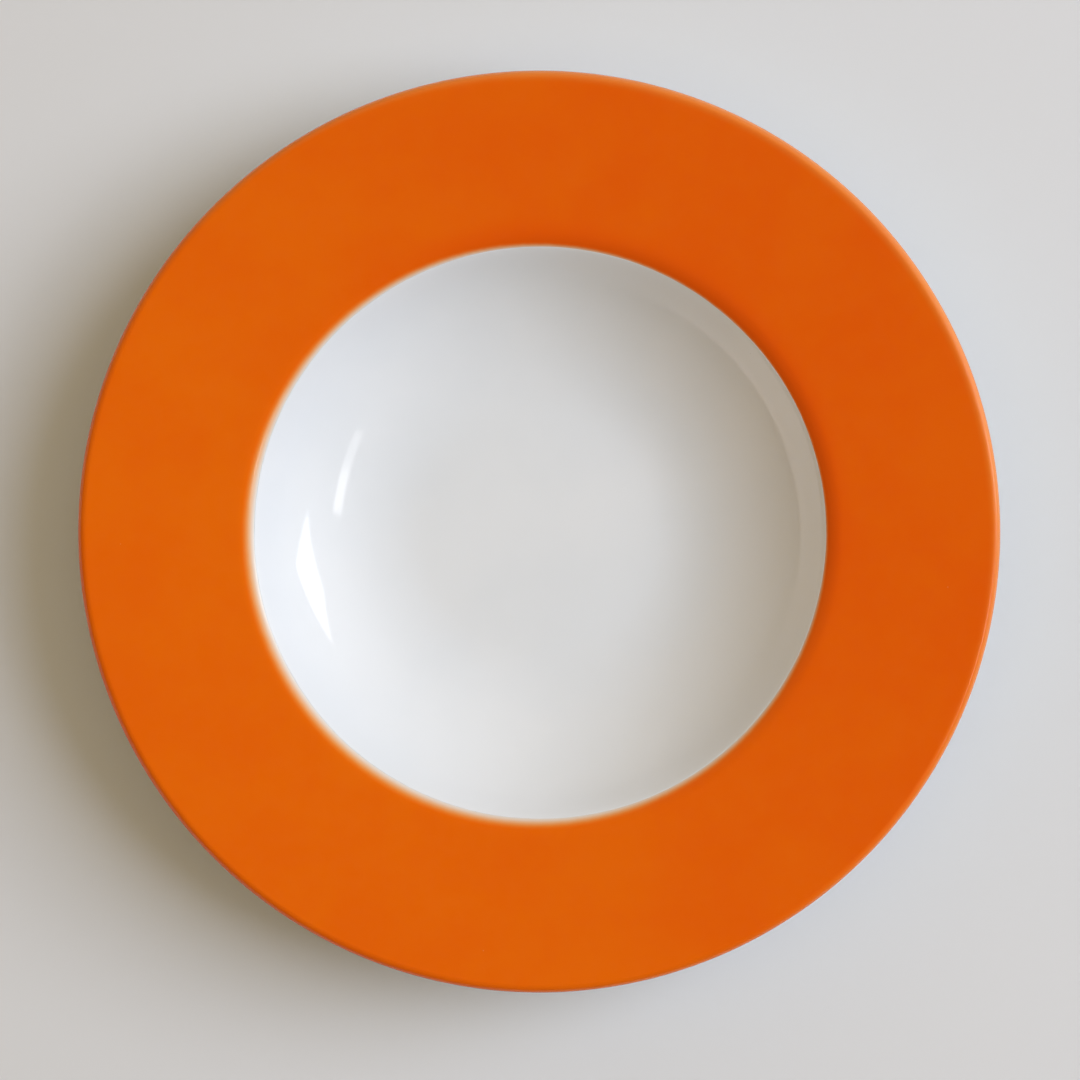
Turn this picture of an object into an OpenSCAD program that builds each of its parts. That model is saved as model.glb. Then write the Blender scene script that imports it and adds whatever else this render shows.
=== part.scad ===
// Rimmed soup plate: a porcelain body of revolution with four fired coats on it.
// The plate stands on its foot ring at z = 0 and its axis is the Z axis.

/* [Plate] */
// Outer diameter of the glazed plate
plate_d = 230; // [200:1:290]
// Height from the table to the top of the lip
plate_h = 32; // [29:1:45]
// Thickness of the fired body in its floor, wall and rim
body_t = 3.4; // [3:0.1:5]

/* [Well] */
// Diameter of the mouth, where the line of the wall meets the line of the rim
well_d = 145.8; // [130:0.1:170]
// Slope of the wall, in degrees from level
wall_slope = 46; // [36:1:50]
// Radius of the hollow bend from the floor up into the wall
floor_bend_r = 52; // [40:1:60]

/* [Rim] */
// Slope of the rim, in degrees from level
rim_slope = 5; // [2:0.5:9]
// Radius of the shoulder, where the wall turns over into the rim
shoulder_r = 8; // [6:0.5:12]
// Radius of the lip's upper edge
lip_top_r = 1.9; // [0.5:0.1:2.2]
// Radius of the lip's lower edge
lip_under_r = 0.9; // [0.4:0.1:1.3]

/* [Foot ring] */
// Outer diameter of the foot ring where it meets the table
foot_d = 96; // [80:1:110]
// Width of the foot ring where it meets the table
foot_w = 4; // [3:0.5:6]
// Draft of the foot ring's two sides, in degrees from upright
foot_draft = 10; // [0:1:20]
// Radius of the foot ring's two standing edges
foot_edge_r = 0.8; // [0.3:0.1:1.2]
// Radius of the fillets between the foot ring and the underside, as far as there is room
foot_fillet_r = 2; // [1:0.5:4]
// Height above the table of the body's level underside, inside the foot ring
recess_h = 3.5; // [2:0.1:5]

/* [Coats] */
// Thickness of the glaze and of the enamel
glaze_t = 0.3; // [0.1:0.05:0.5]
// Distance that the enamel reaches in over the shoulder, from the mouth's diameter
band_reach = 1.3; // [-6:0.1:6]
// Height above the table at which the glaze on the foot ring stops
glaze_stop_h = 1; // [0.8:0.1:2]

/* [Hidden] */

// Most that the straight steps of a bend may lie inside its true arc
bend_sag = 0.005;
$fn = 180;

// Half-section of the body: x is the distance from the axis, y the height.
// The lip's two round edges end on the body's widest circle.
body_r = plate_d / 2 - glaze_t;
lip_top_c = [body_r - lip_top_r, plate_h - glaze_t - lip_top_r];
rim_out = [-sin(rim_slope), cos(rim_slope)];
rim_foot = lip_top_c + lip_top_r * rim_out;

// The rim's line runs down to the mouth, and the wall's line from there to the floor
mouth = [well_d / 2, rim_foot.y - (rim_foot.x - well_d / 2) * tan(rim_slope)];
wall_along = [cos(wall_slope), sin(wall_slope)];
wall_out = [-sin(wall_slope), cos(wall_slope)];
shoulder_c = mouth - shoulder_r * (tan((wall_slope - rim_slope) / 2) * wall_along + wall_out);
floor_z = recess_h + body_t;
floor_corner_r = mouth.x - (mouth.y - floor_z) / tan(wall_slope);
floor_bend_c = [floor_corner_r - floor_bend_r * tan(wall_slope / 2), floor_z + floor_bend_r];
under_bend_r = floor_bend_r + body_t;
band_r = mouth.x - band_reach;

// Underside of the rim, one body thickness below its top, and the lip's lower edge on it
lip_under_c = [
    body_r - lip_under_r,
    rim_foot.y + (body_r - lip_under_r - rim_foot.x) * tan(rim_slope)
        - (body_t - lip_under_r) / cos(rim_slope)
];

// Foot ring: sharp corners on the table, then the directions up and out of each side
foot_outer = [foot_d / 2, 0];
foot_inner = [foot_d / 2 - foot_w, 0];
outer_up = [sin(foot_draft), cos(foot_draft)];
outer_out = [cos(foot_draft), -sin(foot_draft)];
inner_up = [-outer_up.x, outer_up.y];
inner_out = [-outer_out.x, outer_out.y];
edge_in = foot_edge_r * (1 / cos(foot_draft) - tan(foot_draft));

// Both fillets are no larger than the ring's inner side has room for. The inner one runs out into
// the level underside. The outer one lies against the underside's round bend, or against the level
// underside where the ring stands nearer to the axis.
fillet_r = min(foot_fillet_r, recess_h / (1 - sin(foot_draft)) - foot_edge_r);
outer_start = foot_outer + fillet_r * outer_out;
inner_start = foot_inner + fillet_r * inner_out;
round_spot = at_distance(outer_start, outer_up, floor_bend_c, under_bend_r + fillet_r);
level_spot = at_height(outer_start, outer_up, recess_h - fillet_r);
outer_fillet_c = round_spot.x > floor_bend_c.x ? round_spot : level_spot;
inner_fillet_c = at_height(inner_start, inner_up, recess_h - fillet_r);
to_bend = floor_bend_c - outer_fillet_c;
outer_fillet_turn = max(90, atan2(to_bend.y, to_bend.x));

// Point at a height on the line that climbs from start along up
function at_height(start, up, z) = start + (z - start.y) / up.y * up;

// Point on the line that climbs from start along up, where it comes within reach of a centre
function at_distance(start, up, centre, reach) =
    let (v = start - centre)
    start - (v * up + sqrt((v * up) ^ 2 - v * v + reach ^ 2)) * up;

// Bend of an outline, as pairs of a point and the direction that faces out of the clay.
// facing is 1 where the clay bulges and -1 where it is hollow.
function bend(centre, r, from, to, facing) =
    let (steps = ceil(abs(to - from) / (2 * acos(1 - bend_sag / r))))
    [
        for (i = [0 : steps])
            let (a = from + (to - from) * i / steps, ray = [cos(a), sin(a)])
                [centre + r * ray, facing * ray]
    ];

// Points of an outline, moved out of the clay by a distance
function points_at(outline, out) = [for (p = outline) p[0] + out * p[1]];
function reversed(list) = [for (i = [len(list) - 1 : -1 : 0]) list[i]];

// Upper side, from the axis over floor, wall, shoulder and rim to the lip's widest circle
upper_side = concat(
    [[[0, floor_z], [0, 1]]],
    bend(floor_bend_c, floor_bend_r, -90, wall_slope - 90, -1),
    bend(shoulder_c, shoulder_r, wall_slope + 90, rim_slope + 90, 1),
    bend(lip_top_c, lip_top_r, rim_slope + 90, 0, 1)
);

// Underside, from the lip's widest circle down to the foot ring, round it and back to the axis
under_side = concat(
    [upper_side[len(upper_side) - 1]],
    bend(lip_under_c, lip_under_r, 0, rim_slope - 90, 1),
    bend(shoulder_c, shoulder_r - body_t, rim_slope + 90, wall_slope + 90, -1),
    bend(floor_bend_c, under_bend_r, wall_slope - 90, outer_fillet_turn - 180, 1),
    bend(outer_fillet_c, fillet_r, outer_fillet_turn, 180 - foot_draft, -1),
    bend(foot_outer + [-edge_in, foot_edge_r], foot_edge_r, -foot_draft, -90, 1),
    bend(foot_inner + [edge_in, foot_edge_r], foot_edge_r, -90, foot_draft - 180, 1),
    bend(inner_fillet_c, fillet_r, foot_draft, 90, -1),
    [[[0, recess_h], [0, -1]]]
);

// Half-section of a coat that lies on an outline
module coat(outline) {
    polygon(concat(points_at(outline, 0), reversed(points_at(outline, glaze_t))));
}

// Half-section of the coat under the plate, bare where the foot ring stands
module under_coat() {
    difference() {
        coat(under_side);
        translate([0, -glaze_t])
            square([foot_d, glaze_t + glaze_stop_h]);
    }
}

// Everything nearer to the axis than a radius, as high as the plate
module within(r) {
    square([r, plate_h]);
}

module porcelain_body() {
    color([0.9, 0.9, 0.88])
        rotate_extrude()
            polygon(concat(points_at(upper_side, 0), points_at(under_side, 0)));
}

module rim_enamel() {
    color([0.87, 0.37, 0.01])
        rotate_extrude()
            difference() {
                coat(upper_side);
                within(band_r);
            }
}

module well_glaze() {
    color([0.93, 0.93, 0.94])
        rotate_extrude()
            intersection() {
                coat(upper_side);
                within(band_r);
            }
}

module underside_glaze() {
    color([0.91, 0.91, 0.92])
        rotate_extrude()
            difference() {
                under_coat();
                within(foot_d / 2 - foot_w / 2);
            }
}

module base_glaze() {
    color([0.91, 0.91, 0.92])
        rotate_extrude()
            intersection() {
                under_coat();
                within(foot_d / 2 - foot_w / 2);
            }
}

porcelain_body();
rim_enamel();
well_glaze();
underside_glaze();
base_glaze();
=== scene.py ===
"""Rimmed soup plate: fine turned surfaces and fired finishes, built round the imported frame.

Every surface is turned: a half-section is carried round the plate's axis. Half-sections are
worked out in millimetres, with r the distance from the axis and z the height above the table.
"""

import logging
import math
from dataclasses import dataclass
from enum import Enum

import bpy
import numpy as np
from mathutils import Matrix, Vector


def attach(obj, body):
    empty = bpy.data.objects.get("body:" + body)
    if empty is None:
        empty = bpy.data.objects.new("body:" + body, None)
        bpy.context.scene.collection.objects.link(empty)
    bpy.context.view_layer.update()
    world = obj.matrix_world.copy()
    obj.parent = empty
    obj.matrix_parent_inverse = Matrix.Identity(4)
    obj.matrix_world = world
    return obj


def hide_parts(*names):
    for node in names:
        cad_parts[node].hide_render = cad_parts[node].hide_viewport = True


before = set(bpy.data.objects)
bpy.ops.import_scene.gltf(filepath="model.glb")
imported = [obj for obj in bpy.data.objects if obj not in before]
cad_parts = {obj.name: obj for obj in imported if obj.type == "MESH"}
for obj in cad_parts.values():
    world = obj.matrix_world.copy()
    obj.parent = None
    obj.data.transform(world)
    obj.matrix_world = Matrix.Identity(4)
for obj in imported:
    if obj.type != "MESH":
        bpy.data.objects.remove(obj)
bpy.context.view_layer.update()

MM = 0.001
BODY = "root"
LOG = logging.getLogger("soup_plate")

Pair = tuple[float, float]
Triple = tuple[float, float, float]
Socket = bpy.types.NodeSocket
Value = Socket | float | Triple


class Coat(Enum):
    """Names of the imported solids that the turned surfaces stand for."""

    BODY = "porcelain_body"
    RIM = "rim_enamel"
    WELL = "well_glaze"
    UNDERSIDE = "underside_glaze"
    BASE = "base_glaze"


class Slot(Enum):
    """Material slots of the record."""

    BARE = "bare_porcelain"
    ORANGE = "orange_enamel"
    WHITE = "white_glaze"


@dataclass(frozen=True)
class Outline:
    """A run of points on the clay's surface, each with the direction out of the clay.

    Attributes:
        points: (n, 2) array of r and z, in millimetres.
        out: (n, 2) array of unit directions out of the clay.
    """

    points: np.ndarray
    out: np.ndarray

    def __add__(self, other: "Outline") -> "Outline":
        """This run followed by another one."""
        return Outline(np.vstack([self.points, other.points]), np.vstack([self.out, other.out]))

    def at(self, height: np.ndarray | float) -> np.ndarray:
        """Points moved out of the clay by a height, one for all points or one for each."""
        return self.points + np.reshape(height, (-1, 1)) * self.out

    def along(self) -> np.ndarray:
        """Distance of each point from the first, measured along the run."""
        steps = np.linalg.norm(np.diff(self.points, axis=0), axis=1)
        return np.concatenate([[0.0], np.cumsum(steps)])

    def resampled(self, spots: np.ndarray) -> "Outline":
        """The same run with points at other distances along it.

        Args:
            spots: Distances along the run, rising.

        Returns:
            A new run, with points and directions taken straight between the old ones.
        """
        s = self.along()
        points = np.stack([np.interp(spots, s, self.points[:, k]) for k in (0, 1)], axis=1)
        out = np.stack([np.interp(spots, s, self.out[:, k]) for k in (0, 1)], axis=1)
        return Outline(points, out / np.linalg.norm(out, axis=1, keepdims=True))

    def thinned(self) -> "Outline":
        """The same run without points that lie on the one before."""
        keep = np.concatenate([[True], np.linalg.norm(np.diff(self.points, axis=0), axis=1) > 1e-4])
        return Outline(self.points[keep], self.out[keep])


@dataclass(frozen=True)
class PlateSection:
    """Half-section of the fired clay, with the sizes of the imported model, in millimetres."""

    plate_d: float = 230.0
    plate_h: float = 32.0
    body_t: float = 3.4
    well_d: float = 145.8
    wall_slope: float = 46.0
    floor_bend_r: float = 52.0
    rim_slope: float = 5.0
    shoulder_r: float = 8.0
    lip_top_r: float = 1.9
    lip_under_r: float = 0.9
    foot_d: float = 96.0
    foot_w: float = 4.0
    foot_draft: float = 10.0
    foot_edge_r: float = 0.8
    foot_fillet_r: float = 2.0
    recess_h: float = 3.5
    glaze_t: float = 0.3
    band_reach: float = 1.3
    glaze_stop_h: float = 1.0
    arc_step: float = 0.7

    @property
    def lip_z(self) -> float:
        """Height of the clay's widest circle."""
        return self.plate_h - self.glaze_t - self.lip_top_r

    @property
    def body_r(self) -> float:
        """Radius of the clay's widest circle."""
        return self.plate_d / 2 - self.glaze_t

    @property
    def lip_top_c(self) -> np.ndarray:
        """Centre of the lip's upper edge round."""
        return np.array([self.body_r - self.lip_top_r, self.lip_z])

    @property
    def rim_foot(self) -> np.ndarray:
        """Point where the rim's straight line meets the lip's upper edge round."""
        a = math.radians(self.rim_slope)
        return self.lip_top_c + self.lip_top_r * np.array([-math.sin(a), math.cos(a)])

    @property
    def mouth(self) -> np.ndarray:
        """Point where the line of the rim meets the line of the wall."""
        drop = (self.rim_foot[0] - self.well_d / 2) * math.tan(math.radians(self.rim_slope))
        return np.array([self.well_d / 2, self.rim_foot[1] - drop])

    @property
    def band_r(self) -> float:
        """Radius at which the enamel stops and the white glaze of the well begins."""
        return self.mouth[0] - self.band_reach

    @property
    def shoulder_c(self) -> np.ndarray:
        """Centre of the shoulder's round, below the mouth."""
        wall, rim = math.radians(self.wall_slope), math.radians(self.rim_slope)
        along = np.array([math.cos(wall), math.sin(wall)])
        out = np.array([-math.sin(wall), math.cos(wall)])
        return self.mouth - self.shoulder_r * (math.tan((wall - rim) / 2) * along + out)

    @property
    def floor_z(self) -> float:
        """Height of the clay's level floor."""
        return self.recess_h + self.body_t

    @property
    def floor_bend_c(self) -> np.ndarray:
        """Centre of the hollow bend between floor and wall."""
        wall = math.radians(self.wall_slope)
        corner = self.mouth[0] - (self.mouth[1] - self.floor_z) / math.tan(wall)
        return np.array([corner - self.floor_bend_r * math.tan(wall / 2), self.floor_z + self.floor_bend_r])

    def arc(self, centre: np.ndarray, radius: float, start: float, end: float, facing: int) -> Outline:
        """Part of a circle, as centre + radius * (cos a, sin a) for angles a from start to end.

        Args:
            centre: Centre, as r and z.
            radius: Radius of the circle.
            start: First angle, in degrees from the direction away from the axis.
            end: Last angle, in degrees.
            facing: 1 where the clay bulges and -1 where it is hollow.

        Returns:
            The run, with a point about every arc_step of its length.
        """
        length = abs(end - start) * math.pi / 180 * radius
        count = max(4, math.ceil(length / self.arc_step), math.ceil(abs(end - start) / 6)) + 1
        a = np.radians(np.linspace(start, end, count))
        ray = np.stack([np.cos(a), np.sin(a)], axis=1)
        return Outline(centre + radius * ray, facing * ray)

    def line(self, start: np.ndarray | Pair, end: np.ndarray | Pair, out: Pair, step: float) -> Outline:
        """Straight run from start to end, with out pointing out of the clay and a point at least every step."""
        count = max(2, math.ceil(np.linalg.norm(np.subtract(end, start)) / step) + 1)
        return Outline(np.linspace(start, end, count), np.tile(np.asarray(out, float), (count, 1)))

    def upper(self) -> Outline:
        """Upper side, from the axis over floor, wall, shoulder and rim to the widest circle."""
        rise, wall = math.radians(self.rim_slope), math.radians(self.wall_slope)
        bend = self.arc(self.floor_bend_c, self.floor_bend_r, -90, self.wall_slope - 90, -1)
        shoulder = self.arc(self.shoulder_c, self.shoulder_r, self.wall_slope + 90, self.rim_slope + 90, 1)
        run = self.line((0, self.floor_z), (self.floor_bend_c[0], self.floor_z), (0, 1), 2.5) + bend
        run += self.line(bend.points[-1], shoulder.points[0], (-math.sin(wall), math.cos(wall)), 0.7)
        run += shoulder
        run += self.line(shoulder.points[-1], self.rim_foot, (-math.sin(rise), math.cos(rise)), 1.2)
        run += self.arc(self.lip_top_c, self.lip_top_r, self.rim_slope + 90, 0, 1)
        return run.thinned()

    def fillets(self) -> tuple[np.ndarray, np.ndarray, float, float]:
        """Places of the two fillets between the foot ring and the underside.

        The outer fillet's centre climbs the ring's outer side until it lies one fillet radius
        outside the underside's round bend. The inner one lies one radius below the level underside.

        Returns:
            The outer and the inner centre, the fillets' radius, and the angle at which the outer
            one touches the bend, in degrees.
        """
        draft = math.radians(self.foot_draft)
        radius = min(self.foot_fillet_r, self.recess_h / (1 - math.sin(draft)) - self.foot_edge_r)
        up, out = np.array([math.sin(draft), math.cos(draft)]), np.array([math.cos(draft), -math.sin(draft)])
        start = np.array([self.foot_d / 2, 0]) + radius * out
        gap = start - self.floor_bend_c
        reach = self.floor_bend_r + self.body_t + radius
        climb = gap @ up + math.sqrt((gap @ up) ** 2 - gap @ gap + reach**2)
        outer = start - climb * up
        inner_start = np.array([self.foot_d / 2 - self.foot_w, 0]) + radius * out * (-1, 1)
        inner = inner_start + (self.recess_h - radius - inner_start[1]) / up[1] * up * (-1, 1)
        to_bend = self.floor_bend_c - outer
        return outer, inner, radius, math.degrees(math.atan2(to_bend[1], to_bend[0]))

    def under(self) -> Outline:
        """Underside, from the widest circle to the foot ring, round it and back to the axis."""
        rise, wall, draft = (math.radians(a) for a in (self.rim_slope, self.wall_slope, self.foot_draft))
        lip_x = self.body_r - self.lip_under_r
        lip_y = self.rim_foot[1] + (lip_x - self.rim_foot[0]) * math.tan(rise)
        lip_c = np.array([lip_x, lip_y - (self.body_t - self.lip_under_r) / math.cos(rise)])
        outer, inner, fillet_r, turn = self.fillets()
        edge_in = self.foot_edge_r * (1 / math.cos(draft) - math.tan(draft))
        foot = np.array([self.foot_d / 2 - edge_in, self.foot_edge_r])
        foot_in = np.array([self.foot_d / 2 - self.foot_w + edge_in, self.foot_edge_r])

        lip = self.arc(lip_c, self.lip_under_r, 0, self.rim_slope - 90, 1)
        hollow = self.arc(self.shoulder_c, self.shoulder_r - self.body_t, self.rim_slope + 90, self.wall_slope + 90, -1)
        bend = self.arc(self.floor_bend_c, self.floor_bend_r + self.body_t, self.wall_slope - 90, turn - 180, 1)
        outer_fillet = self.arc(outer, fillet_r, turn, 180 - self.foot_draft, -1)
        outer_edge = self.arc(foot, self.foot_edge_r, -self.foot_draft, -90, 1)
        inner_edge = self.arc(foot_in, self.foot_edge_r, -90, self.foot_draft - 180, 1)
        inner_fillet = self.arc(inner, fillet_r, self.foot_draft, 90, -1)

        run = self.line((self.body_r, self.lip_z), lip.points[0], (1, 0), 0.5) + lip
        run += self.line(lip.points[-1], hollow.points[0], (math.sin(rise), -math.cos(rise)), 2.0) + hollow
        run += self.line(hollow.points[-1], bend.points[0], (math.sin(wall), -math.cos(wall)), 1.0) + bend
        run += outer_fillet
        run += self.line(outer_fillet.points[-1], outer_edge.points[0], (math.cos(draft), -math.sin(draft)), 0.5)
        run += outer_edge + self.line(outer_edge.points[-1], inner_edge.points[0], (0, -1), 0.5) + inner_edge
        run += self.line(inner_edge.points[-1], inner_fillet.points[0], (-math.cos(draft), -math.sin(draft)), 0.5)
        run += inner_fillet + self.line(inner_fillet.points[-1], (0, self.recess_h), (0, -1), 2.5)
        return run.thinned()

    def band_spot(self) -> float:
        """Distance along the upper side at which the finished face reaches the enamel's radius."""
        upper = self.upper()
        return float(np.interp(self.band_r, upper.at(self.glaze_t)[:, 0], upper.along()))

    def stop_spots(self) -> Pair:
        """Distances along the underside at which the glaze stops on the foot ring's two sides."""
        under = self.under()
        s, z = under.along(), under.points[:, 1]
        low = np.flatnonzero(z < self.glaze_stop_h)
        spots = []
        for a, b in ((low[0] - 1, low[0]), (low[-1], low[-1] + 1)):
            share = (self.glaze_stop_h - z[a]) / (z[b] - z[a])
            spots.append(float(s[a] + share * (s[b] - s[a])))
        return spots[0], spots[1]


@dataclass(frozen=True)
class Firing:
    """Small departures from a perfect round that a kiln and a hand leave, in millimetres.

    Waves are given as their share, how many go round the plate, and where they start, in radians.
    """

    rim_lift: float = 0.10
    rim_waves: tuple[Triple, ...] = ((0.6, 2, 0.7), (0.4, 3, 2.1))
    band_wander: float = 0.07
    band_waves: tuple[Triple, ...] = ((0.5, 5, 0.4), (0.3, 11, 1.9), (0.2, 23, 4.0))
    band_width: float = 2.0
    mouth_shift: Pair = (0.21, -0.30)
    mouth_width: float = 10.0

    def summed(self, waves: tuple[Triple, ...], turn: np.ndarray) -> np.ndarray:
        """Sum of share * sin(count * turn + start) over some waves."""
        return sum(share * np.sin(count * turn + start) for share, count, start in waves)

    def bent(self, r: np.ndarray, z: np.ndarray, turn: np.ndarray, foot_r: float, rim_r: float) -> np.ndarray:
        """Heights after firing: z + lift * share^2 * (waves - 1) / 2.

        share grows from 0 at the foot ring to 1 at the lip, so the plate still stands flat.

        Args:
            r: Distances from the axis.
            z: Heights above the table.
            turn: Angles round the axis, in radians.
            foot_r: Radius up to which nothing moves.
            rim_r: Radius at which the full lift is reached.

        Returns:
            The new heights, never above the perfect ones.
        """
        share = np.clip((r - foot_r) / (rim_r - foot_r), 0, 1)
        return z + self.rim_lift * share**2 * (self.summed(self.rim_waves, turn) - 1) / 2

    def wandered(self, r: np.ndarray, turn: np.ndarray, band_r: float) -> np.ndarray:
        """Radii after the well's mouth sits a little off the axis and the enamel's edge wanders.

        r + wander * waves * exp(-((r - band) / width)^2), and the same with the shift towards each
        side in place of wander * waves and the mouth's width.

        Args:
            r: Distances from the axis.
            turn: Angles round the axis, in radians.
            band_r: Radius of the enamel's edge.

        Returns:
            The new radii.
        """
        waves = self.summed(self.band_waves, turn)
        shift = self.mouth_shift[0] * np.cos(turn) + self.mouth_shift[1] * np.sin(turn)
        edge, mouth = (np.exp(-(((r - band_r) / width) ** 2)) for width in (self.band_width, self.mouth_width))
        return r + self.band_wander * waves * edge + shift * mouth


@dataclass
class Turned:
    """Turns a closed half-section round the plate's axis.

    Attributes:
        section: The plate's sizes.
        firing: The small departures from a perfect round.
        turns: Steps round the axis.
    """

    section: PlateSection
    firing: Firing
    turns: int = 384

    def grid(self, loop: np.ndarray) -> np.ndarray:
        """Carries the half-section round the axis: (r cos t, r sin t, z) over a grid of t.

        The foot ring stays perfectly round.

        Args:
            loop: (n, 2) array of r and z.

        Returns:
            (n * turns, 3) array of places in metres, one ring after another.
        """
        turn = np.linspace(0, 2 * math.pi, self.turns, endpoint=False)
        r, t = np.meshgrid(loop[:, 0], turn, indexing="ij")
        z = np.repeat(loop[:, 1:], self.turns, axis=1)
        foot_r, rim_r = self.section.foot_d / 2, self.section.plate_d / 2
        z = self.firing.bent(r, z, t, foot_r, rim_r)
        above = z > self.section.glaze_stop_h * 2
        r = np.where(above & (r > foot_r), self.firing.wandered(r, t, self.section.band_r), r)
        return np.stack([r * np.cos(t), r * np.sin(t), z], axis=2).reshape(-1, 3) * MM

    def faces(self, rings: int, closed: bool) -> np.ndarray:
        """Corner numbers of the four-sided faces between neighbouring rings.

        Args:
            rings: How many rings the grid has.
            closed: True where the last ring joins the first again.

        Returns:
            (m, 4) array of vertex numbers.
        """
        here = np.arange(rings if closed else rings - 1)[:, None]
        ring_a, ring_b = here * self.turns, (here + 1) % rings * self.turns
        step = np.arange(self.turns)[None, :]
        after = (step + 1) % self.turns
        return np.stack([ring_a + step, ring_b + step, ring_b + after, ring_a + after], axis=2).reshape(-1, 4)

    def mesh(self, name: str, loop: np.ndarray, creases: np.ndarray, poles: bool) -> bpy.types.Object:
        """Makes a closed mesh from a half-section.

        Args:
            name: Name of the object and its mesh.
            loop: (n, 2) array of r and z that runs so that the solid lies on its right. With
                poles it starts and ends on the axis, and otherwise it closes on itself.
            creases: Numbers of the rings that stay sharp.
            poles: True where the half-section touches the axis.

        Returns:
            The object, smooth except at its creases.
        """
        rings = loop[1:-1] if poles else loop
        verts = self.grid(rings)
        quads = self.faces(len(rings), closed=not poles)
        tris = np.zeros((0, 3), int)
        if poles:
            first, last = len(verts), len(verts) + 1
            ends = np.array([[0, 0, loop[0, 1]], [0, 0, loop[-1, 1]]]) * MM
            step = np.arange(self.turns)
            after = (step + 1) % self.turns
            last_ring = len(verts) - self.turns
            top = np.stack([np.full(self.turns, first), step, after], axis=1)
            low = np.stack([np.full(self.turns, last), last_ring + after, last_ring + step], axis=1)
            verts, tris = np.vstack([verts, ends]), np.vstack([top, low])
            creases = creases - 1
        data = bpy.data.meshes.new(name)
        data.vertices.add(len(verts))
        data.vertices.foreach_set("co", verts.ravel())
        corners = np.concatenate([quads.ravel(), tris.ravel()])
        sizes = np.concatenate([np.full(len(quads), 4), np.full(len(tris), 3)])
        data.loops.add(len(corners))
        data.loops.foreach_set("vertex_index", corners)
        data.polygons.add(len(sizes))
        data.polygons.foreach_set("loop_start", np.concatenate([[0], np.cumsum(sizes)[:-1]]))
        data.polygons.foreach_set("use_smooth", np.ones(len(sizes), bool))
        data.update(calc_edges=True)
        data.validate()
        self.sharpen(data, creases)
        piece = bpy.data.objects.new(name, data)
        bpy.context.scene.collection.objects.link(piece)
        return piece

    def sharpen(self, data: bpy.types.Mesh, creases: np.ndarray) -> None:
        """Marks the edges along some rings as sharp.

        Args:
            data: The mesh.
            creases: Numbers of the rings.
        """
        ends = np.empty(len(data.edges) * 2, int)
        data.edges.foreach_get("vertices", ends)
        ring = ends.reshape(-1, 2) // self.turns
        sharp = (ring[:, 0] == ring[:, 1]) & np.isin(ring[:, 0], creases)
        data.attributes.new("sharp_edge", "BOOLEAN", "EDGE").data.foreach_set("value", sharp)


class Nodes:
    """A node tree under construction, with short ways to add to it."""

    def __init__(self, tree: bpy.types.NodeTree, coordinates: str) -> None:
        """Empties a node tree.

        Args:
            tree: The tree.
            coordinates: Name of the coordinates that its patterns read.
        """
        self.tree = tree
        self.tree.nodes.clear()
        self.place = self.add("TexCoord").outputs[coordinates]

    def add(self, kind: str, inputs: dict[str | int, Value] | None = None, operation: str = "") -> bpy.types.Node:
        """Adds a node.

        Args:
            kind: Blender's name of its type, without the word in front that all of them share.
            inputs: Values of its sockets, under their names or numbers.
            operation: Name of what it does, for a node that can do several things.

        Returns:
            The node.
        """
        node = self.tree.nodes.new(f"ShaderNode{kind}")
        if operation:
            node.operation = operation
        for key, value in (inputs or {}).items():
            self.feed(node.inputs[key], value)
        return node

    def feed(self, target: Socket, value: Value) -> None:
        """Links a socket to another one, or writes a plain value into it."""
        if isinstance(value, Socket):
            self.tree.links.new(value, target)
        else:
            target.default_value = (*value, 1) if target.type == "RGBA" else value

    def math(self, what: str, a: Value, b: Value) -> Socket:
        """One sum on two values, with Blender's name for it."""
        return self.add("Math", {0: a, 1: b}, what).outputs[0]

    def vector(self, what: str, *values: Value) -> Socket:
        """One sum on vectors, with Blender's name for it. A length or a dot product is a number."""
        outputs = self.add("VectorMath", dict(enumerate(values)), what).outputs
        return outputs["Value" if what in ("LENGTH", "DOT_PRODUCT") else "Vector"]

    def spread(self, value: Socket, low: float, high: float, to_low: float, to_high: float) -> Socket:
        """Maps a value from one range to another, smoothly and without leaving it.

        Args:
            value: The value.
            low: Start of its range.
            high: End of its range.
            to_low: Result at the start.
            to_high: Result at the end.

        Returns:
            The mapped value.
        """
        ends = {"From Min": low, "From Max": high, "To Min": to_low, "To Max": to_high}
        node = self.add("MapRange", {"Value": value, **ends})
        node.interpolation_type = "SMOOTHSTEP"
        return node.outputs["Result"]

    def ramp(self, value: Socket, stops: tuple[tuple[float, Triple], ...]) -> Socket:
        """Colour that depends on a value.

        Args:
            value: The value.
            stops: Pairs of a value and the colour there, rising.

        Returns:
            The colour, straight between the stops.
        """
        node = self.add("ValToRGB", {"Fac": value})
        elements = node.color_ramp.elements
        while len(elements) < len(stops):
            elements.new(0.5)
        for element, (place, colour) in zip(elements, stops):
            element.position = place
            element.color = (*colour, 1)
        return node.outputs["Color"]

    def blend(self, share: Socket, a: Triple | Socket, b: Triple | Socket) -> Socket:
        """Blends two colours.

        Args:
            share: Share of the second colour.
            a: First colour, a socket or red, green and blue.
            b: Second colour.

        Returns:
            The blended colour.
        """
        node = self.add("Mix")
        node.data_type = "RGBA"
        self.feed(node.inputs["Factor"], share)
        for socket, colour in zip([s for s in node.inputs if s.type == "RGBA"], (a, b)):
            self.feed(socket, colour)
        return [s for s in node.outputs if s.type == "RGBA"][0]


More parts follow.
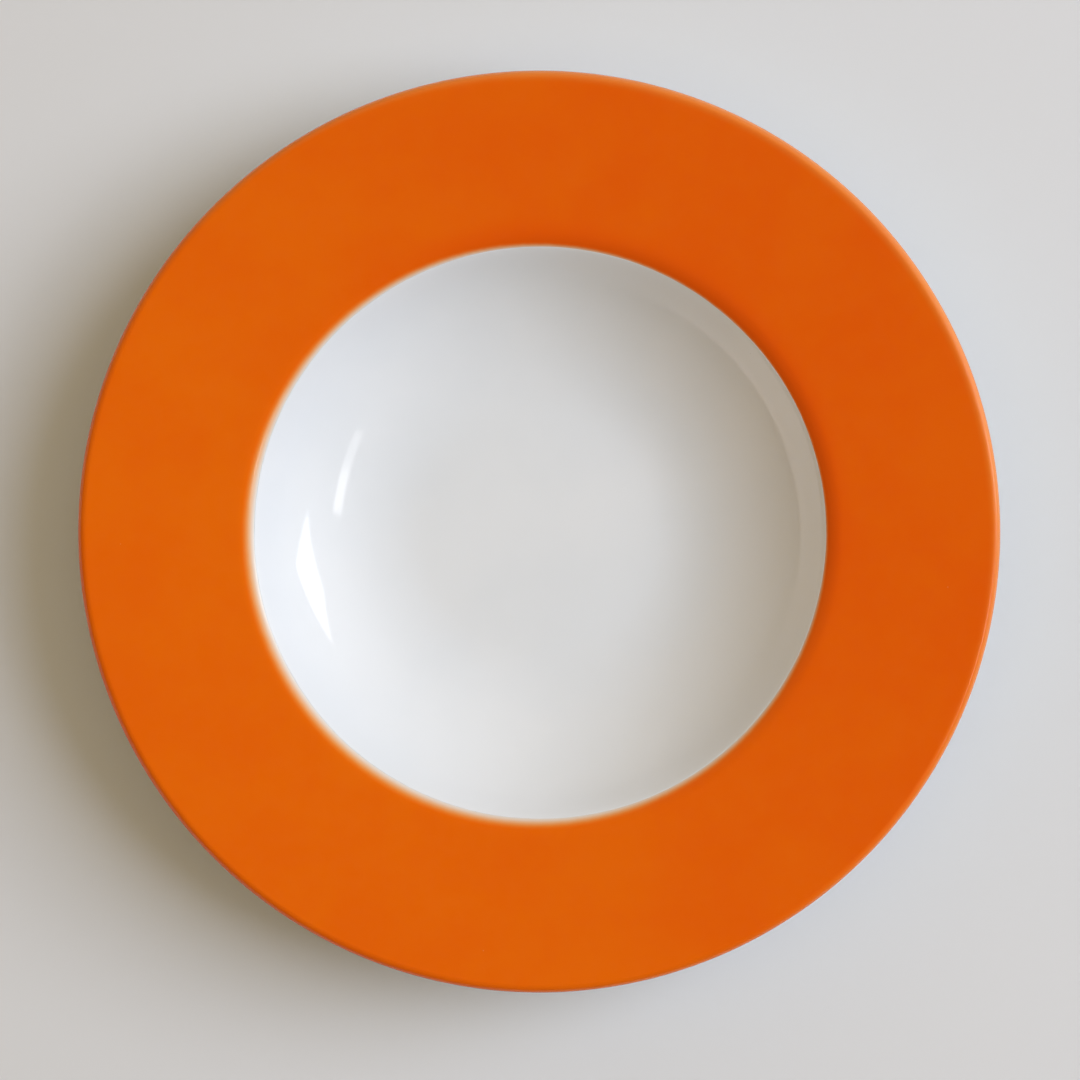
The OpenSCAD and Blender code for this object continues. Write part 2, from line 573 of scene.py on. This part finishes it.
class Surface(Nodes):
    """A material under construction, with patterns on the piece's own coordinates."""

    def __init__(self, name: str) -> None:
        """Starts a material with a Principled shader, under a name."""
        self.material = bpy.data.materials.new(name)
        self.material.use_nodes = True
        super().__init__(self.material.node_tree, "Object")
        self.shader = self.add("BsdfPrincipled")
        self.output = self.add("OutputMaterial", {"Surface": self.shader.outputs["BSDF"]})

    def give(self, inputs: dict[str, Value]) -> None:
        """Sets inputs of the shader, under their names."""
        for name, value in inputs.items():
            self.feed(self.shader.inputs[name], value)

    def noise(self, size_mm: float, detail: float = 2.0, rough: float = 0.5) -> Socket:
        """Soft random pattern of about 0.5, with detail finer layers of a strength that rough gives."""
        look = {"Scale": 1 / (size_mm * MM), "Detail": detail, "Roughness": rough}
        return self.add("TexNoise", {"Vector": self.place, **look}).outputs["Fac"]

    def patches(self, size_mm: float, low: float, high: float, detail: float = 4.0, rough: float = 0.65) -> Socket:
        """Soft random pattern that runs from low in its hollows to high on its peaks."""
        return self.spread(self.noise(size_mm, detail, rough), 0.3, 0.7, low, high)

    def radius(self, centre: Pair = (0.0, 0.0)) -> Socket:
        """Distance in metres from an upright line, of which centre gives x and y in millimetres."""
        back = (-centre[0] * MM, -centre[1] * MM, 0)
        return self.vector("LENGTH", self.vector("MULTIPLY_ADD", self.place, (1, 1, 0), back))

    def towards(self, direction: Pair) -> Socket:
        """Distance from the axis towards a side in metres, negative on the other side."""
        return self.vector("DOT_PRODUCT", self.place, (*direction, 0))

    def film(self, depth: Socket, ground: Triple, full: Triple) -> Socket:
        """Colour of a coat that thins out, between the ways in which dyes and dots cover.

        In each channel it is (ground^p * (1 - depth) + full^p * depth)^(1/p), with p = 0.4.

        Args:
            depth: Share of the full thickness.
            ground: Colour below the coat.
            full: Colour of the coat at its full thickness.

        Returns:
            The colour.
        """
        power = 0.4
        stops = []
        for share in (0.0, 0.15, 0.3, 0.45, 0.6, 0.8, 1.0):
            mixed = ((g**power * (1 - share) + f**power * share) ** (1 / power) for g, f in zip(ground, full))
            stops.append((share, tuple(mixed)))
        return self.ramp(depth, tuple(stops))

    def specks(self, gap_mm: float, size_mm: float) -> Socket:
        """Rare round dots: 1 in the middle of some cells and 0 elsewhere.

        Args:
            gap_mm: Distance between cells.
            size_mm: Width of a dot.

        Returns:
            The dots' share.
        """
        cells = self.add("TexVoronoi", {"Vector": self.place, "Scale": 1 / (gap_mm * MM)}).outputs
        width = size_mm / gap_mm
        dot = self.spread(cells["Distance"], width / 4, width / 2, 1, 0)
        chance = self.add("SeparateColor", {0: cells["Color"]}).outputs[0]
        return self.math("MULTIPLY", dot, self.spread(chance, 0.80, 0.84, 0, 1))

    def relief(self, *layers: tuple[Socket, float]) -> None:
        """Gives the shader a bumpy normal, from pairs of a pattern and its height in millimetres."""
        below = None
        for pattern, height in layers:
            node = self.add("Bump", {"Strength": 1.0, "Distance": height * MM, "Height": pattern})
            if below is not None:
                self.feed(node.inputs["Normal"], below)
            below = node.outputs["Normal"]
        self.give({"Normal": below})


@dataclass(frozen=True)
class FiredGloss:
    """What the glossy coats share: rare specks, worn gloss, orange peel and a fine grain.

    Attributes:
        speck: Colour of a speck.
        speck_gap: Distance between the places where one may sit, in millimetres.
        speck_size: Width of one, in millimetres.
        speck_share: How strongly it shows.
        wear_size: Size of the worn patches, in millimetres.
        gloss_low: Least roughness.
        gloss_high: Greatest roughness.
        ior: Refractive index.
        level: Strength of the gloss, where 0.5 is plain glass.
        peel: Size and height of the orange peel, in millimetres.
        grain: Size and height of the grain, in millimetres.
    """

    speck: Triple = (0.52, 0.48, 0.43)
    speck_gap: float = 9.0
    speck_size: float = 0.35
    speck_share: float = 0.35
    wear_size: float = 2.2
    gloss_low: float = 0.05
    gloss_high: float = 0.09
    ior: float = 1.5
    level: float = 0.5
    peel: Pair = (11.0, 0.016)
    grain: Pair = (1.6, 0.0012)

    def finish(self, n: Surface, colour: Socket) -> bpy.types.Material:
        """Adds all of it to a coat's colour.

        Args:
            n: The material under construction.
            colour: The coat's colour.

        Returns:
            The material.
        """
        dots = n.math("MULTIPLY", n.specks(self.speck_gap, self.speck_size), self.speck_share)
        n.give({"Base Color": n.blend(dots, colour, self.speck),
                "Roughness": n.patches(self.wear_size, self.gloss_low, self.gloss_high),
                "IOR": self.ior,
                "Specular IOR Level": self.level})
        n.relief((n.noise(self.peel[0], 1.0), self.peel[1]), (n.noise(self.grain[0]), self.grain[1]))
        return n.material


@dataclass(frozen=True)
class WhiteGlaze(FiredGloss):
    """Clear glossy glaze over white porcelain, a little cool where it pools."""

    colour: Triple = (0.80, 0.81, 0.81)
    pooled: Triple = (0.775, 0.79, 0.795)
    pool_size: float = 38.0

    def material(self) -> bpy.types.Material:
        """Cloudy white."""
        n = Surface(Slot.WHITE.value)
        cloudy = n.spread(n.noise(self.pool_size, 3.0), 0.35, 0.65, 0, 1)
        return self.finish(n, n.blend(cloudy, self.colour, self.pooled))


@dataclass(frozen=True)
class OrangeEnamel(FiredGloss):
    """Glossy orange enamel that thins and pales at its edges, with painted light and shade: paler towards one side,
    darker near the inner edge on the other, and pale edges widened where highlights fall.

    Places, radii and sizes are in millimetres.

    Attributes:
        paler: Paler orange, towards the lit side as painted light, and in clouds.
        deeper: Darker orange, on the other side and in clouds.
        lit_side: Direction of the side that is painted paler, as light that falls on the rim there.
        lit_side_reach: Distance from the axis at which it is palest.
        lit_side_share: Share of the paler colour on the other side and on the lit one.
        cloud_size: Size of its clouds.
        cloud_share: Share of the paler colour that they take away and add.
        ground: Colour of the glazed porcelain below it.
        shaded_side: Direction of the side on which its inner edge is painted darker, as shade where the rim turns away
            from the light.
        shaded_side_reach: Distance from the axis at which that painted shade is darkest.
        shade_share: How much of the paler colour is gone there.
        shade_from: Radius up to which the painted shade is full there.
        shade_to: Radius from which there is none.
        edge_centre: Centre of its inner edge.
        edge_r: Radius at which its inner edge starts.
        fade_and_highlight_centre: Centre of the circles at which it thins. It lies off the axis, so that the pale bands
            at the lip and the inner edge are wider where highlights fall, as painted highlight.
        full_r: Radius from which it is full, round that centre.
        lip_from: Radius from which it thins towards the lip, round that centre.
        lip_to: Radius at which it is thinnest there.
        lip_depth: Share of its thickness that is left there.
        ragged: Size and width of the uneven edge of its thinning.
    """

    speck: Triple = (0.86, 0.42, 0.22)
    speck_gap: float = 13.0
    speck_size: float = 0.5
    wear_size: float = 2.6
    gloss_low: float = 0.10
    gloss_high: float = 0.17
    level: float = 0.4
    peel: Pair = (9.0, 0.014)
    grain: Pair = (1.2, 0.0014)
    paler: Triple = (0.850, 0.146, 0.0008)
    deeper: Triple = (0.820, 0.095, 0.0004)
    # Painted light: the enamel is paler towards one side, where light falls on the rim.
    lit_side: Pair = (-0.91, -0.41)
    lit_side_reach: float = 90.0
    lit_side_share: Pair = (0.35, 0.80)
    cloud_size: float = 30.0
    cloud_share: Pair = (-0.10, 0.25)
    ground: Triple = (0.76, 0.74, 0.70)
    # Painted shade: near the inner edge on the other side the enamel is darker, where the rim turns away from the
    # light.
    shaded_side: Pair = (0.6, 0.8)
    shaded_side_reach: float = 60.0
    shade_share: float = 0.8
    shade_from: float = 73.0
    shade_to: float = 80.0
    edge_centre: Pair = (0.21, -0.30)
    edge_r: float = 71.2
    # Painted highlight: off-axis centre that widens the pale bands where highlights fall.
    fade_and_highlight_centre: Pair = (-1.04, -0.99)
    full_r: float = 73.6
    lip_from: float = 112.6
    lip_to: float = 116.2
    lip_depth: float = 0.66
    ragged: Pair = (1.8, 0.3)

    def depth(self, n: Surface) -> Socket:
        """Share of the full thickness: less at the lip and towards the inner edge, partly real thinning and partly
        painted highlight. Its circles are centred off the axis, which widens the pale bands where highlights fall.

        Towards the edge it follows a / (a + b), with a the distance from the edge's circle and b
        the distance that is left to the circle where the coat is full. A hair is added to a + b,
        which is then never 0.

        Args:
            n: The material under construction.

        Returns:
            The share.
        """
        ragged = n.math("MULTIPLY", n.math("SUBTRACT", n.noise(self.ragged[0], 3.0), 0.5), self.ragged[1] * MM)
        # Painted highlight: radii from an off-axis centre make the pale bands at the lip and the inner edge wider where
        # highlights fall.
        fade_radius = n.math("ADD", n.radius(self.fade_and_highlight_centre), ragged)
        passed = n.math("MAXIMUM", n.math("SUBTRACT", n.radius(self.edge_centre), self.edge_r * MM), 0.0)
        left = n.math("MAXIMUM", n.math("SUBTRACT", self.full_r * MM, fade_radius), 0.0)
        hair = 0.001 * MM
        share = n.math("DIVIDE", passed, n.math("ADD", n.math("ADD", passed, left), hair))
        lip = n.spread(fade_radius, self.lip_from * MM, self.lip_to * MM, 1, self.lip_depth)
        return n.math("MULTIPLY", lip, n.spread(share, 0, 1, 0, 1))

    def material(self) -> bpy.types.Material:
        """Two close oranges: paler towards one side as painted light, darker near the inner edge on the other side as
        painted shade, and in random clouds.
        """
        n = Surface(Slot.ORANGE.value)
        depth = self.depth(n)
        # Painted light: paler towards one side.
        side = n.spread(n.towards(self.lit_side), -self.lit_side_reach * MM, self.lit_side_reach * MM, *self.lit_side_share)
        # Painted light on one side, plus random clouds of the two oranges.
        clouds = n.math("ADD", side, n.patches(self.cloud_size, *self.cloud_share, rough=0.6))
        # Painted shade: the paler colour is taken away near the inner edge on the other side.
        ring = n.spread(n.radius(), self.shade_from * MM, self.shade_to * MM, 1, 0)
        beside = n.spread(n.towards(self.shaded_side), 0.0, self.shaded_side_reach * MM, 0, self.shade_share)
        share = n.math("MULTIPLY", clouds, n.math("SUBTRACT", 1.0, n.math("MULTIPLY", ring, beside)))
        coats = (n.film(depth, self.ground, colour) for colour in (self.deeper, self.paler))
        return self.finish(n, n.blend(share, *coats))


@dataclass(frozen=True)
class BarePorcelain:
    """Unglazed fired clay on the foot ring: matt, fine-grained and a little grey from use.

    Attributes:
        colour: Colour of clean clay.
        worn: Colour of rubbed clay.
        rub_size: Size of the rubbed patches, in millimetres.
        rub_share: How strongly they show.
        grain: Size and height of the grain, in millimetres.
        grain_share: How strongly its colour shows.
        matt_size: Size of the patches of roughness, in millimetres.
        matt_low: Least roughness.
        matt_high: Greatest roughness.
    """

    colour: Triple = (0.72, 0.70, 0.66)
    worn: Triple = (0.56, 0.54, 0.50)
    rub_size: float = 4.5
    rub_share: float = 0.8
    grain: Pair = (0.35, 0.03)
    grain_share: float = 0.25
    matt_size: float = 0.5
    matt_low: float = 0.62
    matt_high: float = 0.85

    def material(self) -> bpy.types.Material:
        """Grainy off-white with darker rubbed patches."""
        n = Surface(Slot.BARE.value)
        rubbed = n.spread(n.noise(self.rub_size, 5.0, 0.7), 0.48, 0.72, 0, self.rub_share)
        grain = n.patches(self.grain[0], 0, self.grain_share, 2.0, 0.5)
        n.give({"Base Color": n.blend(n.math("MAXIMUM", rubbed, grain), self.colour, self.worn),
                "Roughness": n.patches(self.matt_size, self.matt_low, self.matt_high, 3.0, 0.5)})
        n.relief((n.noise(self.grain[0], 3.0, 0.6), self.grain[1]))
        return n.material


@dataclass
class FiredPiece:
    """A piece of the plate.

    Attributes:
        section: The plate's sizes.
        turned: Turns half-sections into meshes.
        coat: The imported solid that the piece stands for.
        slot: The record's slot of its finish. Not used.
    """

    section: PlateSection
    turned: Turned
    coat: Coat
    slot: Slot

    @property
    def name(self) -> str:
        """Name of the piece."""
        return f"{self.coat.value}_turned"

    def dress(self, piece: bpy.types.Object, finish: bpy.types.Material) -> None:
        """Gives the piece its finish and its place in the frame.

        Args:
            piece: The piece.
            finish: Its material.
        """
        piece.data.materials.append(finish)
        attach(piece, BODY)
        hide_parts(self.coat.value)


@dataclass
class PorcelainBody(FiredPiece):
    """The pressed and fired body. Only the foot ring's standing face shows."""

    coat: Coat = Coat.BODY
    slot: Slot = Slot.BARE

    def build(self) -> bpy.types.Object:
        """Turns the whole half-section of the clay into one closed solid."""
        loop = np.vstack([self.section.upper().points, self.section.under().points[1:]])
        return self.turned.mesh(self.name, loop, np.zeros(0, int), poles=True)


@dataclass
class GlazeCoat(FiredPiece):
    """A coat on part of the clay's surface, with rounded ends.

    Attributes:
        end_round: Radius of the round at a free end of the coat, in millimetres.
        end_steps: Steps of that round.
    """

    end_round: float = 0.12
    end_steps: int = 8

    def run(self) -> tuple[Outline, bool, bool]:
        """The stretch of surface that the coat lies on.

        Returns:
            The run, and whether its first and its last end are free. An end that isn't free
            lies on the axis.
        """
        raise NotImplementedError

    def cut(self, outline: Outline, start: float, end: float) -> Outline:
        """A stretch of a run between two distances along it.

        Args:
            outline: The whole run.
            start: Distance at which the stretch starts.
            end: Distance at which it ends.

        Returns:
            The stretch, with points close together at its two ends.
        """
        clear = self.end_round * 1.5
        s = outline.along()
        inner = s[(s > start + clear) & (s < end - clear)]
        share = 1 - np.cos(np.linspace(0, math.pi / 2, self.end_steps + 1))
        near = np.concatenate([start + self.end_round * share, [start + clear]])
        far = np.concatenate([[end - clear], end - self.end_round * share[::-1]])
        return outline.resampled(np.concatenate([near, inner, far]))

    def height(self, outline: Outline, free_start: bool, free_end: bool) -> np.ndarray:
        """Thickness of the coat: full, less a quarter round at each free end.

        Near an end it is t - q + sqrt(q^2 - (q - s)^2), with q the round's radius and s the
        distance from the end.

        Args:
            outline: The run.
            free_start: True where the first end is free.
            free_end: True where the last end is free.

        Returns:
            One thickness for each point.
        """
        s = outline.along()
        full = np.full(len(s), self.section.glaze_t)
        q = self.end_round
        for free, distance in ((free_start, s), (free_end, s[-1] - s)):
            if free:
                near = np.clip(q - distance, 0, q)
                full = np.minimum(full, self.section.glaze_t - q + np.sqrt(q * q - near * near))
        return full

    def build(self) -> bpy.types.Object:
        """Turns the coat's closed half-section: its face, and back along the clay."""
        outline, free_start, free_end = self.run()
        face = outline.at(self.height(outline, free_start, free_end))
        back = outline.points[::-1]
        loop = np.vstack([face, back])
        corners = [len(face) - 1, len(face)] if free_end else []
        corners += [0, len(loop) - 1] if free_start else []
        poles = not (free_start and free_end)
        if poles and free_start:
            loop = np.roll(loop, len(back), axis=0)
            corners = [(c + len(back)) % len(loop) for c in corners]
        return self.turned.mesh(self.name, loop, np.array(corners, int), poles)


@dataclass
class WellGlaze(GlazeCoat):
    """White glaze on the floor and wall of the well, up to the enamel's edge."""

    coat: Coat = Coat.WELL
    slot: Slot = Slot.WHITE

    def run(self) -> tuple[Outline, bool, bool]:
        """From the axis to the circle where the finished face reaches the enamel's radius."""
        return self.cut(self.section.upper(), 0.0, self.section.band_spot()), False, True


@dataclass
class RimEnamel(GlazeCoat):
    """Orange enamel on the shoulder, the rim and the upper half of the lip."""

    coat: Coat = Coat.RIM
    slot: Slot = Slot.ORANGE

    def run(self) -> tuple[Outline, bool, bool]:
        """From the enamel's edge over the rim to the widest circle."""
        upper = self.section.upper()
        return self.cut(upper, self.section.band_spot(), upper.along()[-1]), True, True


@dataclass
class UndersideGlaze(GlazeCoat):
    """White glaze under the rim and the wall, down to the foot ring's outer side."""

    coat: Coat = Coat.UNDERSIDE
    slot: Slot = Slot.WHITE

    def run(self) -> tuple[Outline, bool, bool]:
        """From the widest circle to the height on the foot ring at which the glaze was wiped off."""
        return self.cut(self.section.under(), 0.0, self.section.stop_spots()[0]), True, True


@dataclass
class BaseGlaze(GlazeCoat):
    """White glaze on the disc inside the foot ring."""

    coat: Coat = Coat.BASE
    slot: Slot = Slot.WHITE

    def run(self) -> tuple[Outline, bool, bool]:
        """From the wiped height on the ring's inner side to the axis."""
        under = self.section.under()
        return self.cut(under, self.section.stop_spots()[1], under.along()[-1]), True, False


class LampShape(Enum):
    """Outline of a soft lamp's face."""

    OBLONG = "RECTANGLE"
    ROUND = "DISK"


@dataclass(frozen=True)
class SoftLamp:
    """A flat soft lamp.

    Attributes:
        name: Name of the lamp.
        place: Its middle, in metres.
        facing: Direction that it shines in.
        across: Direction of its first side.
        width: Length of its first side, or its diameter, in metres.
        height: Length of its other side, in metres.
        glow: How bright its face is in red, green and blue, where 1 is a white wall.
        shape: Outline of its face.
        mirrored: True where gloss shows the lamp.
    """

    name: str
    place: Triple
    facing: Triple
    across: Triple
    width: float
    height: float
    glow: Triple
    shape: LampShape = LampShape.OBLONG
    mirrored: bool = True

    def build(self) -> bpy.types.Object:
        """Makes the lamp, unseen by the camera."""
        data = bpy.data.lights.new(self.name, "AREA")
        data.shape = self.shape.value
        data.size = self.width
        area = self.width * self.height
        if self.shape is LampShape.OBLONG:
            data.size_y = self.height
        else:
            area *= math.pi / 4
        brightest = max(self.glow)
        data.energy = brightest * math.pi * area
        data.color = tuple(c / brightest for c in self.glow)
        x = Vector(self.across).normalized()
        z = -Vector(self.facing).normalized()
        y = z.cross(x).normalized()
        turn = Matrix((y.cross(z), y, z)).transposed().to_4x4()
        lamp = bpy.data.objects.new(self.name, data)
        lamp.matrix_world = Matrix.Translation(self.place) @ turn
        lamp.visible_camera = False
        lamp.visible_glossy = self.mirrored
        bpy.context.scene.collection.objects.link(lamp)
        return lamp


@dataclass(frozen=True)
class SkyGlow:
    """A soft patch of light in the sky: colour * max(0, direction . towards) ^ tightness.

    Attributes:
        towards: Direction of its middle.
        tightness: The larger it is, the smaller the patch.
        colour: How bright it is in red, green and blue.
        heights: Heights z of a direction at which it starts, is full, starts to fade and is gone.
        gloss_only: True where only reflections show it, as they show a bright wall far away.
    """

    towards: Triple
    tightness: float
    colour: Triple
    heights: tuple[float, float, float, float] = (0.0, 0.15, 0.75, 0.93)
    gloss_only: bool = False

    def light(self, n: Nodes, height: Socket) -> Socket:
        """Colour of the patch in the direction looked in.

        Args:
            n: The world's nodes.
            height: Height z of the direction.

        Returns:
            The colour.
        """
        stops = tuple((z, (share,) * 3) for z, share in zip(self.heights, (0.0, 1.0, 1.0, 0.0)))
        nearness = n.math("MAXIMUM", n.vector("DOT_PRODUCT", n.place, Vector(self.towards).normalized()), 0.0)
        share = n.math("MULTIPLY", n.math("POWER", nearness, self.tightness), n.ramp(height, stops))
        if self.gloss_only:
            share = n.math("MULTIPLY", share, n.add("LightPath").outputs["Is Glossy Ray"])
        return n.add("VectorMath", {"Vector": self.colour, "Scale": share}, "SCALE").outputs["Vector"]


@dataclass
class Studio:
    """Pale floor, soft light and the camera, seen as the plate is in the photo. Lengths are in metres."""

    floor_hole_r: float = 0.0472
    floor_r: float = 1.6
    floor_sides: int = 96
    floor_colour: Triple = (0.74, 0.74, 0.735)
    backdrop: Triple = (0.60, 0.60, 0.595)
    lens: float = 85.0
    sensor: float = 36.0
    frame_width: float = 0.2694
    focus_z: float = 0.0298
    aim: Pair = (0.0002, -0.0021)
    lamps: tuple[SoftLamp, ...] = (
        SoftLamp("key_softbox", (2.164, 0.4618, 1.1635), (-0.8168, -0.1218, 0.5639), (-0.2249, -0.8329, -0.5057),
                 1.036, 0.832, (4.9, 5.2, 5.5)),
        SoftLamp("strip_softbox", (1.6848, -0.3464, 1.7697), (-0.9054, 0.0413, -0.4225), (-0.081, -0.9938, 0.0764),
                 0.398, 0.241, (4.6, 4.6, 4.6)),
        SoftLamp("strip_softbox_dim", (1.6538, -0.7266, 1.7989), (-0.9054, 0.0413, -0.4225), (-0.081, -0.9938, 0.0764),
                 0.367, 0.241, (2.4, 2.4, 2.4)),
        SoftLamp("side_softbox", (1.82, 0.39, 1.67), (-1.82, -0.39, -1.67), (-0.21, 0.98, 0.0),
                 2.0, 2.0, (3.51, 4.12, 5.28), LampShape.ROUND, mirrored=False),
        SoftLamp("overhead_softbox", (0.0, 0.0, 2.5), (0.0, 0.0, -1.0), (1.0, 0.0, 0.0),
                 2.9, 2.9, (0.80, 0.75, 0.56), LampShape.ROUND, mirrored=False),
    )
    sky: tuple[tuple[float, Triple], ...] = (
        (0.00, (0.55, 0.55, 0.54)),
        (0.03, (0.10, 0.08, 0.06)),
        (0.12, (0.10, 0.08, 0.06)),
        (0.35, (0.18, 0.12, 0.06)),
        (0.80, (0.18, 0.12, 0.06)),
        (0.93, (0.02, 0.02, 0.02)),
    )
    glows: tuple[SkyGlow, ...] = (
        SkyGlow((0.80, 0.17, 0.57), 12.0, (0.50, 0.50, 0.50)),
        SkyGlow((0.94, 0.20, 0.26), 12.0, (0.60, 0.55, 0.50)),
        SkyGlow((0.0, 0.87, 0.50), 3.0, (0.31, 0.27, 0.18)),
        SkyGlow((-0.87, 0.0, 0.50), 3.0, (0.20, 0.08, 0.0)),
        SkyGlow((-0.90, -0.42, 0.10), 3.0, (1.50, 1.40, 1.40), (0.03, 0.06, 0.155, 0.175), gloss_only=True),
    )

    def build_floor(self) -> bpy.types.Object:
        """A round pale floor that fades out far from the plate.

        It is clear from below, and open under the foot ring, so that the underside can be seen.
        """
        turn = np.linspace(0, 2 * math.pi, self.floor_sides, endpoint=False)
        ring = np.stack([np.cos(turn), np.sin(turn), 0 * turn], axis=1)
        here = np.arange(self.floor_sides)
        after = np.roll(here, -1)
        faces = np.stack([here, here + self.floor_sides, after + self.floor_sides, after], axis=1)
        data = bpy.data.meshes.new("floor")
        data.from_pydata(np.vstack([self.floor_hole_r * ring, self.floor_r * ring]).tolist(), [], faces.tolist())
        data.update()
        floor = bpy.data.objects.new("floor", data)
        bpy.context.scene.collection.objects.link(floor)
        n = Surface("pale_floor")
        shade = tuple(c * 0.985 for c in self.floor_colour)
        n.give({"Base Color": n.blend(n.noise(140, 3.0), self.floor_colour, shade),
                "Roughness": 0.85,
                "Specular IOR Level": 0.2})
        back = n.add("NewGeometry").outputs["Backfacing"]
        far = n.spread(n.radius(), self.floor_r * 0.25, self.floor_r * 0.8, 0, 1)
        clear = n.add("BsdfTransparent").outputs["BSDF"]
        mix = n.add("MixShader", {0: n.math("MAXIMUM", back, far), 1: n.shader.outputs["BSDF"], 2: clear})
        n.feed(n.output.inputs["Surface"], mix.outputs[0])
        floor.data.materials.append(n.material)
        return floor

    def build_world(self) -> None:
        """Soft light from all round, and a plain pale backdrop that only the camera sees.

        The light is a run of colours over the height z of a direction, plus the glows.
        """
        world = bpy.data.worlds.new("studio")
        bpy.context.scene.world = world
        world.use_nodes = True
        n = Nodes(world.node_tree, "Generated")
        height = n.add("SeparateXYZ", {0: n.place}).outputs["Z"]
        total = n.ramp(height, self.sky)
        for glow in self.glows:
            total = n.vector("ADD", total, glow.light(n, height))
        light, backdrop = (n.add("Background", {"Color": c}).outputs[0] for c in (total, self.backdrop))
        seen = n.add("LightPath").outputs["Is Camera Ray"]
        n.add("OutputWorld", {"Surface": n.add("MixShader", {0: seen, 1: light, 2: backdrop}).outputs[0]})

    def build_camera(self) -> bpy.types.Object:
        """A camera straight above the plate, at the height that gives the photo's frame."""
        data = bpy.data.cameras.new("camera")
        data.lens, data.sensor_width = self.lens, self.sensor
        camera = bpy.data.objects.new("camera", data)
        distance = self.frame_width * self.lens / self.sensor
        camera.location = (*self.aim, self.focus_z + distance)
        bpy.context.scene.collection.objects.link(camera)
        bpy.context.scene.camera = camera
        return camera

    def build(self) -> None:
        """Builds the floor, the light and the camera."""
        self.build_floor()
        self.build_world()
        for lamp in self.lamps:
            lamp.build()
        self.build_camera()
        bpy.context.scene.view_settings.view_transform = "Standard"


def main() -> None:
    """Builds and dresses every coat of the plate, then the studio round it."""
    logging.basicConfig(level=logging.INFO, format="%(name)s: %(message)s")
    section, firing = PlateSection(), Firing()
    turned = Turned(section, firing)
    white, orange, bare = WhiteGlaze().material(), OrangeEnamel().material(), BarePorcelain().material()
    coats = (
        (PorcelainBody(section, Turned(section, firing, turns=256)), bare),
        (WellGlaze(section, turned), white),
        (RimEnamel(section, turned), orange),
        (UndersideGlaze(section, turned), white),
        (BaseGlaze(section, turned), white),
    )
    for coat, finish in coats:
        piece = coat.build()
        coat.dress(piece, finish)
        LOG.info("%s: %d vertices", piece.name, len(piece.data.vertices))
    Studio().build()


if __name__ == "__main__":
    main()
